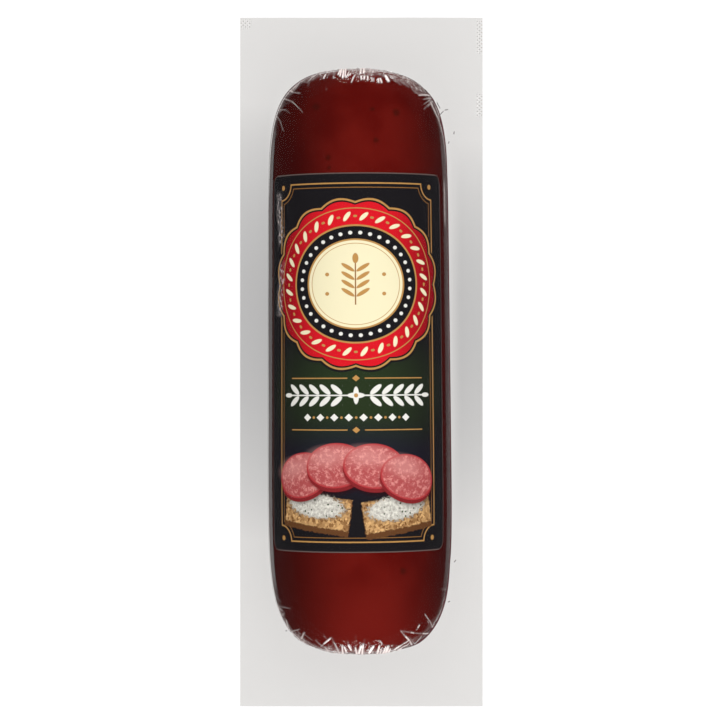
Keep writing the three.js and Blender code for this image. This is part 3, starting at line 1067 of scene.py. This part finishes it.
# The folds that show on the front, each in a row as Fold.of reads it.
FRONT_FOLDS = (
    (-70, 864, 7, 15, 33, 92), (-64, 859, 6, 29, 33, 92), (-56, 853, 3, 28, 36, 100),
    (-49, 858, 3, 31, 27, 100), (-46, 853, 9, 20, 24, 77), (-39, 859, 8, 10, 21, 77),
    (-30, 837, 11, 26, 24, 63), (-114, 853, 7, 14, 27, 77), (-3, 869, 3, 19, 36, 63),
    (7, 869, 0, 19, 33, 84), (0, 846, -1, 14, 36, 70), (8, 846, 1, 13, 36, 70), (19, 844, 0, 15, 27, 77),
    (32, 841, -1, 14, 33, 50), (37, 841, 0, 13, 24, 44), (52, 837, -2, 15, 36, 63),
    (61, 837, -5, 16, 36, 70), (82, 843, -10, 20, 48, 100), (104, 843, -16, 20, 33, 25),
    (116, 835, -21, 25, 30, 15), (128, 836, -18, 16, 30, 15), (141, 829, -21, 19, 27, 16),
    (153, 829, -21, 24, 27, 13), (181, 821, -27, 8, 24, 19), (171, 809, -17, 11, 21, 15),
    (174, 805, 32, 7, 27, 63), (206, 812, 13, -6, 24, 33), (163, 811, 24, 1, 21, 23),
    (189, 794, 27, 11, 21, 33), (189, 779, 21, 18, 18, 23), (190, 764, 22, 28, 18, 19),
    (201, 773, 18, 23, 21, 28), (210, 786, 21, -44, 33, 38), (222, 795, 15, -47, 27, 42),
    (233, 790, 10, -50, 27, 45), (233, 742, 18, -61, 36, 24), (251, 681, 10, -78, 39, 20),
    (260, 618, 5, -122, 33, 12), (-223, 832, 16, -16, 30, 33), (-207, 816, 23, -6, 18, 33),
    (-234, 800, 25, -14, 21, 33), (-209, 786, 22, -24, 24, 31), (-187, 762, 12, -14, 18, 15),
    (-251, 767, 23, -5, 21, 28), (-228, 762, 13, -13, 21, 9), (-257, 749, 11, -19, 21, 25),
    (-246, 730, 11, -32, 18, 18), (-211, 827, 18, 24, 48, 15), (-198, 827, 12, 27, 36, 13),
    (-184, 851, 26, -9, 21, 16), (-161, 847, 31, 32, 27, 25), (-171, 857, 23, 17, 24, 15),
    (-125, 850, 9, 14, 21, 13), (-104, 855, 9, 20, 24, 15), (-88, 852, 11, 21, 24, 19),
    (-28, 871, 15, 11, 27, 19), (-108, 817, 5, 3, 21, 21), (-227, -783, 5, -24, 27, 31),
    (-211, -818, 24, 11, 21, 28), (-193, -811, 9, -12, 18, 21), (-182, -839, 10, 23, 36, 38),
    (-211, -822, 27, -24, 36, 16), (-170, -823, 21, -16, 21, 15), (-177, -840, 45, -26, 27, 13),
    (-137, -838, 9, -12, 27, 16), (-128, -850, 18, -11, 27, 23), (-110, -861, 21, -20, 30, 28),
    (-111, -847, 18, 18, 30, 92), (-122, -859, 11, 12, 24, 33), (-114, -820, 9, -11, 18, 19),
    (-90, -825, 6, -13, 18, 16), (-84, -841, 8, -17, 33, 28), (-76, -858, 14, -26, 33, 33),
    (-102, -864, 15, 12, 21, 21), (-87, -883, 17, 21, 48, 9), (-58, -854, 3, -31, 33, 77),
    (-52, -856, 7, -18, 30, 84), (-42, -837, 4, -13, 18, 19), (-39, -850, 9, -18, 33, 92),
    (-18, -858, 4, -21, 30, 92), (-8, -876, 8, 25, 45, 92), (0, -889, 6, 43, 34, 92),
    (23, -875, 14, 22, 48, 92), (44, -889, 11, 37, 41, 77), (53, -888, 8, 26, 31, 63),
    (59, -888, 14, 29, 34, 84), (66, -895, 15, 39, 59, 100), (79, -882, 8, 17, 34, 84),
    (55, -836, 8, -11, 21, 63), (63, -848, 25, -18, 18, 16), (89, -857, 7, 4, 21, 44),
    (-17, -820, 1, -37, 30, 3), (10, -830, -2, -20, 30, 5), (100, -868, 20, 13, 30, 84),
    (120, -855, 24, 16, 24, 63), (107, -876, 16, 12, 30, 92), (123, -864, 21, 13, 24, 70),
    (119, -808, 14, -19, 21, 33), (133, -826, 12, -15, 33, 84), (119, -807, 34, -8, 18, 25),
    (148, -814, 11, -3, 24, 70), (159, -817, 28, -6, 18, 25), (187, -823, 16, -4, 24, 84),
    (203, -827, 16, 8, 24, 31), (146, -842, 11, -30, 27, 63), (161, -860, 21, 29, 21, 38),
    (166, -808, 5, 9, 18, 28), (170, -800, 5, 8, 27, 77), (192, -761, 16, -26, 21, 35),
    (208, -787, 12, -31, 21, 33), (200, -783, 4, -9, 18, 28), (132, -872, 18, 0, 18, 33),
    (150, -841, 15, 6, 18, 16), (215, -805, 18, 31, 36, 23), (229, -787, 24, 52, 39, 20),
    (253, -735, 12, 43, 36, 15), (-268, -723, 23, -41, 27, 20), (251, 532, 2, -112, 30, 28),
)

# How far the collar runs out from the sausage: degrees round the outline, and millimetres.
COLLAR_REACH = (
    (0, 0.30), (15, 0.50), (44, 0.60), (52, 0.25), (63, 0.38), (72, 0.33), (80, 0.50), (90, 0.75),
    (107, 0.55), (114, 0.65), (124, 0.50), (150, 0.35), (180, 0.12), (245, 0.12), (253, 0.45),
    (262, 0.80), (270, 1.10), (278, 1.00), (284, 0.50), (290, 0.45), (294, 0.55), (302, 0.95),
    (312, 0.75), (330, 0.65), (350, 0.20), (360, 0.30),
)


@dataclass
class Gathers:
    """The folds in which one film gathers round the sausage's two ends."""

    form: SausageForm
    seed: int
    count: int
    placed: tuple[Fold, ...] = ()

    def scattered(self) -> list[Fold]:
        """Strews fine folds over the ends' rims, the more aslant the farther from the tips.

        Returns:
            The folds.
        """
        random = np.random.default_rng(self.seed)
        folds = []
        for end in np.repeat((1, -1), self.count):
            turn = 1.15 * np.clip(random.normal(0, 0.5), -1, 1)
            facing = np.array([np.sin(turn), end * np.cos(turn)])
            ray = np.array([[*facing, 0.0]])
            rim = self.form.reach(np.array([end * self.form.spine]), ray)[0]
            foot = facing * (rim + 0.3 * MM) + [0, end * self.form.spine]
            slant = random.normal(0, 0.3) + random.choice((0, -1.2, 1.2)) * min(abs(turn) / 0.5, 1)
            inwards = -facing * np.cos(slant) + facing[::-1] * [1, -1] * np.sin(slant)
            tip = foot + inwards * (1.2 + 3.2 * random.random() ** 2) * MM
            half_width = (0.20 + 0.16 * random.random()) * MM
            height = (0.08 + 0.16 * random.random()) * MM
            white = 0.05 + 0.26 * random.random() ** 2
            folds.append(Fold(tuple(foot), tuple(tip), half_width, height, white))
        return folds

    def raise_film(self, x: Array, y: Array) -> tuple[Array, Array]:
        """How far the folds lift the film, and how white they turn it: partly the folded film's own whitening
        and partly painted glints.

        Args:
            x: where each point lies across the pack.
            y: where each point lies along the pack.

        Returns:
            The height in metres and the whiteness, at each point.
        """
        lifted, white = np.zeros_like(x), np.zeros_like(x)
        for fold in [*self.scattered(), *self.placed]:
            reach = np.subtract(fold.tip, fold.foot)
            length = np.hypot(*reach)
            east, north = x - fold.foot[0], y - fold.foot[1]
            run = (east * reach[0] + north * reach[1]) / length**2
            off = np.abs(east * reach[1] - north * reach[0]) / length
            taper = np.clip((1.1 - run) / 0.3, 0, 1) * np.clip((run + 0.12) / 0.15, 0, 1)
            ridge = np.sqrt(taper) * np.clip(1.6 * (1 - off / fold.half_width), 0, 1)
            lifted = np.maximum(lifted, fold.height * ridge)
            white = np.maximum(white, fold.white * ridge)
        return lifted, white


@dataclass
class Film:
    """One of the pouch's two films: skin-tight over its half of the pack, then flat out to the edge.

    The folds of its seed and count are strewn round both ends, and the placed ones are laid over them.
    The pleats' pitch, the waves of the border and where the film is wrinkled are in millimetres. Where it
    forms a pocket, clings or has a narrower white rim is in degrees round the outline: from, to and a soft
    edge.
    """

    form: SausageForm
    face: Face
    width: float = 74.3 * MM
    length: float = 211 * MM
    gap: float = 0.12 * MM
    per_end: int = 370
    per_side: int = 60
    gather: float = 0.35
    flange_rows: int = 6
    collar_rows: int = 8
    dome_rows: int = 100
    dome_crowding: float = 1.25
    table_gap: float = 0.02 * MM
    pleat_pitch: float = 2.3
    pleat_height: float = 0.20 * MM
    slack_height: float = 0.40 * MM
    wrinkle_middle: float = -24.2
    wrinkle_spans: tuple[Pair, ...] = ((37, 49), (16, 28))
    wrinkle_height: float = 0.10 * MM
    wave_size: Pair = (17, 23)
    wave_height: float = 0.35 * MM
    sheen_reach: float = 1.6
    pocket: tuple[float, ...] = (57, 88, 8)
    narrower: tuple[float, ...] = (105, 165, 12)
    clinging: tuple[float, ...] = (294, 322, 8)
    seed: int = 5
    count: int = 70
    placed: tuple[Fold, ...] = ()
    finish: FilmFinish = field(default_factory=FilmFinish)

    def build(self) -> Piece:
        """Lays a grid from the pouch's edge, up the collar and over the sausage.

        Returns:
            The film.
        """
        stations = Stations.around(self.form, self.per_end, self.per_side, self.gather)
        points, notes = self.shape(stations, self.layers(stations))
        piece, _ = lay_grid(f"{self.face.name.lower()}_film", points, notes)
        close_seams(piece)
        return piece

    def layers(self, stations: Stations) -> Array:
        """Lays rows of points from the pouch's edge to the top, before any folds.

        Args:
            stations: the places round the outline.

        Returns:
            The points, by row and station.
        """
        sign = self.face.value
        lip = (0.8 - 0.2 * stations.end_share**2) * MM / (self.form.width / 2)
        share = np.linspace(0, 1, self.dome_rows + 1)[:, None] ** self.dome_crowding
        dome = self.form.place(stations.skin(self.form, sign * (lip + (math.pi / 2 - lip) * share)))
        dome[..., 2] = np.maximum(dome[..., 2], self.table_gap)

        level = self.form.axis_height + sign * self.gap / 2
        foot = self.form.place(stations.skin(self.form, np.zeros((1, 1))))[0]
        foot[:, 2] = level
        edge = self.edge(stations, level)
        outwards = edge - foot
        outwards /= np.linalg.norm(outwards, axis=-1, keepdims=True)
        start = foot + outwards * (np.interp(stations.angle, *zip(*COLLAR_REACH)) * MM)[:, None]
        t = np.linspace(0, 1, self.collar_rows + 1)[:-1, None, None]
        collar = (1 - t) ** 2 * start + 2 * t * (1 - t) * foot + t**2 * dome[0]
        t = np.linspace(0, 1, self.flange_rows + 1)[:-1, None, None]
        return np.concatenate([edge + (start - edge) * t, collar, dome])

    def edge(self, stations: Stations, level: float) -> Array:
        """Where each station's section meets the pouch's edge, with a station moved to each corner.

        Args:
            stations: the places round the outline.
            level: the edge's height.

        Returns:
            The points, one for each station.
        """
        half = np.array([self.width / 2, self.length / 2])
        spine = np.stack([0 * stations.y, stations.y, 0 * stations.y], axis=-1)
        spine = self.form.place(spine)[:, :2]
        with np.errstate(divide="ignore", invalid="ignore"):
            room = (np.sign(stations.facing) * half - spine) / stations.facing
        room[np.abs(stations.facing) < 1e-9] = np.inf
        points = spine + stations.facing * room.min(axis=1)[:, None]
        for corner in ((1, 1), (-1, 1), (-1, -1), (1, -1)):
            target = half * corner
            points[np.linalg.norm(points - target, axis=1).argmin()] = target
        return np.column_stack([points, np.full(len(points), level)])

    def shape(self, stations: Stations, layers: Array) -> tuple[Array, dict[str, Array]]:
        """Folds the film, and notes where it is flat, where it turns and where it is loose.

        Args:
            stations: the places round the outline.
            layers: the film's rows of points.

        Returns:
            The points, and the notes for the material by name.
        """
        first_dome = self.flange_rows + self.collar_rows
        x, y = layers[..., 0], layers[..., 1]
        rows = np.arange(len(layers))[:, None] * np.ones_like(x)
        inward = ((layers[first_dome] - layers)[..., :2] * stations.facing).sum(axis=-1) / MM
        arc = np.broadcast_to(stations.arc, x.shape) / MM
        end = smooth_step(stations.end_share, 0.35, 0.85) * np.ones_like(x)

        # The folds' white is partly the folded film's own whitening and partly a painted glint.
        lift, white = Gathers(self.form, self.seed, self.count, self.placed).raise_film(x, y)
        lift *= smooth_step(inward, -0.6, 0.1)
        white *= smooth_step(inward, -0.08, 0.1)
        fade = smooth_step(inward, 5.0, 1.0) * smooth_step(inward, -1.2, -0.1)
        slant = arc / self.pleat_pitch + 0.5 * smooth_noise(arc / 5, inward / 3, self.seed)
        wave = 1 - np.abs(2 * (slant - np.floor(slant)) - 1)
        wave *= 0.55 + 0.45 * smooth_noise(arc / 4, inward / 4, self.seed + 1)
        slack = smooth_step(stations.end_share, 0.90, 0.975) * smooth_step(inward, 2.2, 0.6)
        slack *= smooth_step(inward, -1.0, 0.0)
        loose = self.wrinkled(x / MM, y / MM) * (inward > 0)
        lift += self.pleat_height * wave * end * fade
        lift += self.slack_height * slack + self.wrinkle_height * loose
        lift *= rows > self.flange_rows
        points = layers + self.normals(layers) * lift[..., None]
        wave_x, wave_y = self.wave_size
        wander = smooth_noise(x / (wave_x * MM), y / (wave_y * MM), self.seed + 2)
        points[..., 2] += self.wave_height * wander * smooth_step(inward, -3, -9)

        facing_x = stations.facing[:, 0]
        right = smooth_step(facing_x, 0.25, 0.6)
        collar = smooth_step(rows, self.flange_rows, self.flange_rows + 1.5)
        collar *= smooth_step(rows, first_dome + 2 + 13 * right, first_dome - 3 + 7 * right)
        collar *= 0.35 + 0.65 * smooth_step(facing_x, -0.9, -0.5)
        sheen = smooth_step(inward, self.sheen_reach, self.sheen_reach - 0.25)
        sheen *= smooth_step(inward, -0.1, 0.2) * (0.12 + 0.60 * np.maximum(inward, 0))
        sheen *= (1 - 0.6 * right) * (1 - smooth_step(stations.end_share, 0.2, 0.6))
        # The fold and rim white noted here is partly the film's own and partly painted glint and reflection.
        return points, {
            "border": smooth_step(rows, self.flange_rows + 2, self.flange_rows - 1),
            "collar": collar,
            "loose": loose,
            "fold_white_and_glint": white,
            "rim_haze_and_reflection": self.rim_haze_and_reflection(stations, arc, inward, end),
            "sheen": sheen * (self.face is Face.FRONT),
        }

    def rim_haze_and_reflection(self, stations: Stations, arc: Array, inward: Array, end: Array) -> Array:
        """How white the film is along the sausage's rim, where it doesn't cling: partly the loose film's own
        cloudiness and partly a painted reflection.

        Args:
            stations: the places round the outline.
            arc: how far round the outline each point is, in millimetres.
            inward: how far in from the outline each point is, seen from above.
            end: how much each point belongs to an end, from 0 to 1.

        Returns:
            The whiteness, before its pleats.
        """
        front = self.face is Face.FRONT
        pocket = window(stations.angle, *self.pocket) * front
        narrower = window(stations.angle, *self.narrower)
        clinging = window(stations.angle, *self.clinging) * front
        broad = 0.75 + 1.25 * end + 1.2 * pocket - 0.15 * narrower * end
        broad *= 1 + 0.3 * smooth_noise(arc / 3.5, 0 * arc, self.seed + 6)
        band = smooth_step(inward, 1.25 * broad, 0.55 * broad) * smooth_step(inward, -0.08, 0.1)
        # Painted reflection along the rim, partly the loose film's own cloudiness.
        return band * (0.03 + 0.15 * end + 0.04 * pocket) * (1 - 0.7 * clinging)

    def wrinkled(self, x: Array, y: Array) -> Array:
        """How wrinkled the front film is in the band beside the label.

        Args:
            x: how far right each point is, in millimetres.
            y: how far up the pack each point is, in millimetres.

        Returns:
            The wrinkling, from 0 to 1.
        """
        spread = sum(window(y, low, high, 3) for low, high in self.wrinkle_spans)
        middle = self.wrinkle_middle + 0.5 * smooth_noise(0 * x, y / 5, self.seed + 4)
        return spread * smooth_step(np.abs(x - middle), 1.2, 0.4) * (self.face is Face.FRONT)

    def normals(self, layers: Array) -> Array:
        """Finds the film's outward normals.

        Args:
            layers: the film's rows of points.

        Returns:
            The unit normal at each point.
        """
        around = np.gradient(layers, axis=1)
        around[:, [0, -1]] = (layers[:, [1]] - layers[:, [-2]]) / 2
        normal = np.cross(around, np.gradient(layers, axis=0)) * self.face.value
        length = np.linalg.norm(normal, axis=-1, keepdims=True)
        return np.where(length > 1e-12, normal / np.maximum(length, 1e-12), [0, 0, self.face.value])

    def dress(self, piece: Piece) -> None:
        """Gives the film its finish and its place in the part.

        Args:
            piece: the film.
        """
        piece.data.materials.append(self.finish.make())
        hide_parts("pouch")
        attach(piece, "root")


# ---- the studio


@dataclass
class Studio:
    """A plain pale floor, soft light and the photograph's camera, straight above the pack.

    Each light has its name, its place, the point that it faces, its width and height, and its watts.
    """

    border_height: float
    frame_width: float = 222.1 * MM
    camera_distance: float = 0.9
    camera_place: Pair = (0.34 * MM, -0.15 * MM)
    sensor: float = 36.0
    world_light: float = 0.35
    table_size: float = 6
    table_grey: Colour = (0.20, 0.20, 0.20)
    table_glow: float = 0.86
    soft: tuple[tuple, ...] = (
        ("key_left", (-0.36, 0, 1.25), (0, 0, 0), (0.7, 0.7), 2.2),
        ("key_right", (0.36, 0, 1.25), (0, 0, 0), (0.7, 0.7), 5.0),
        ("near", (0.025, 0, 0.24), (0, 0, 0), (0.06, 0.26), 0.21),
        ("top_fill", (0, 0.6, 0.38), (0, 0.05, 0.03), (0.5, 0.3), 1.85),
        ("bottom_fill", (0, -0.6, 0.38), (0, -0.05, 0.03), (0.5, 0.3), 2.15),
    )
    cards: tuple[tuple, ...] = (
        ("card_1", (0, 0.155, 0.012), (0, 0.09, 0.04), (0.05, 0.05), 0.10),
        ("card_-1", (0, -0.155, 0.012), (0, -0.09, 0.04), (0.05, 0.05), 0.10),
    )

    def build(self) -> None:
        """Makes the floor, the lights and the camera."""
        for part in (self.floor, self.lights, self.camera):
            part()

    def floor(self) -> None:
        """A broad pale table that glows, as a light table does."""
        bpy.ops.object.select_all(action="DESELECT")
        bpy.ops.mesh.primitive_plane_add(size=self.table_size)
        table = bpy.context.object
        table.name = "table"
        recipe = Recipe("white_table")
        glow = {"Emission Color": (1, 1, 1), "Emission Strength": self.table_glow}
        table.data.materials.append(recipe.finish(recipe.surface(self.table_grey, 0.9, 0.5, **glow)))

    def lights(self) -> None:
        """Soft light from above, and low cards that the film's folds mirror at both ends."""
        world = bpy.context.scene.world or bpy.data.worlds.new("studio")
        bpy.context.scene.world = world
        world.use_nodes = True
        background = world.node_tree.nodes["Background"]
        background.inputs["Color"].default_value = (1, 1, 1, 1)
        background.inputs["Strength"].default_value = self.world_light
        for light in self.soft:
            self.area(*light).visible_glossy = False
        for card in self.cards:
            self.area(*card).visible_diffuse = False

    @staticmethod
    def area(name: str, place: Place, target: Place, size: Pair, watts: float) -> Piece:
        """Hangs a soft light that the camera doesn't see, and turns it to its target.

        Args:
            name: the light's name.
            place: where it hangs.
            target: the point that it faces.
            size: its width and height.
            watts: its power.

        Returns:
            The light.
        """
        data = bpy.data.lights.new(name, "AREA")
        data.shape = "RECTANGLE"
        data.size, data.size_y = size
        data.energy = watts
        light = bpy.data.objects.new(name, data)
        bpy.context.scene.collection.objects.link(light)
        light.location = place
        light.rotation_euler = (Vector(target) - Vector(place)).to_track_quat("-Z", "Y").to_euler()
        light.visible_camera = False
        return light

    def camera(self) -> None:
        """A long lens straight above, with the pack's border filling the frame as photographed."""
        data = bpy.data.cameras.new("camera")
        data.sensor_width = self.sensor
        data.lens = self.sensor * self.camera_distance / self.frame_width
        data.clip_end = 10
        camera = bpy.data.objects.new("camera", data)
        camera.location = (*self.camera_place, self.border_height + self.camera_distance)
        bpy.context.scene.collection.objects.link(camera)
        bpy.context.scene.camera = camera
        bpy.context.scene.view_settings.view_transform = "Standard"


def main() -> None:
    logging.basicConfig(level=logging.INFO, format="%(name)s: %(message)s")
    form = SausageForm()
    makers = [
        Casing(form),
        Label(form),
        Film(form, Face.FRONT, count=60, placed=tuple(Fold.of(row) for row in FRONT_FOLDS)),
        Film(form, Face.BACK, seed=9),
    ]
    for maker in makers:
        piece = maker.build()
        maker.dress(piece)
        LOG.info("%s: %d faces", piece.name, len(piece.data.polygons))
    Studio(form.axis_height).build()


if __name__ == "__main__":
    main()
